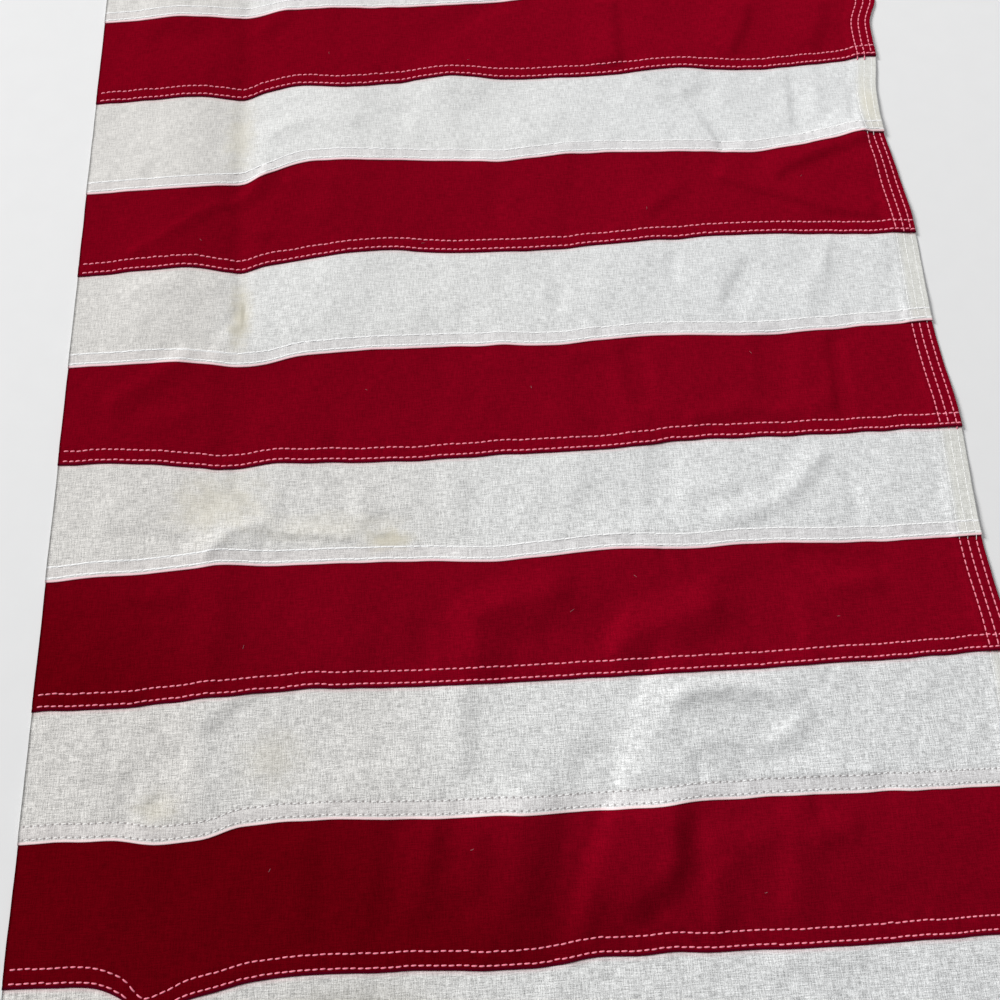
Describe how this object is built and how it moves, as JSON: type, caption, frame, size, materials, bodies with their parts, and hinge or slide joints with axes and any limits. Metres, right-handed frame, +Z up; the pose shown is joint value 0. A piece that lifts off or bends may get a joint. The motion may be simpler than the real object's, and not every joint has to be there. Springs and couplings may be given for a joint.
{
  "type": "cut length of a sewn striped cotton flag",
  "caption": "Cut length of a sewn flag's fly end: white and red cotton stripes lapped and stitched, with a fly hem, creases and stains, lying on a surface.",
  "frame": {"origin": "on the surface that the cloth lies on, under the middle of the piece's bounding box", "axes": "+X along the stripes towards the hemmed fly edge, +Y across the stripes towards the piece's upper cut edge, +Z up through the cloth's face"},
  "size_m": [0.5719, 0.7732, 0.0078],
  "materials": {
    "white_cotton": "matt plain-weave cotton bunting, off-white, lightly stained",
    "red_cotton": "matt plain-weave cotton bunting, deep red",
    "white_thread": "matt sewing thread, white with a pink tinge from the red dye"
  },
  "bodies": {
    "root": {"stripe_01": "white_cotton", "stripe_02": "red_cotton", "stripe_03": "white_cotton", "stripe_04": "red_cotton", "stripe_05": "white_cotton", "stripe_06": "red_cotton", "stripe_07": "white_cotton", "stripe_08": "red_cotton", "stripe_09": "white_cotton", "stripe_10": "red_cotton", "stripe_11": "white_cotton"}
  },
  "joints": []
}
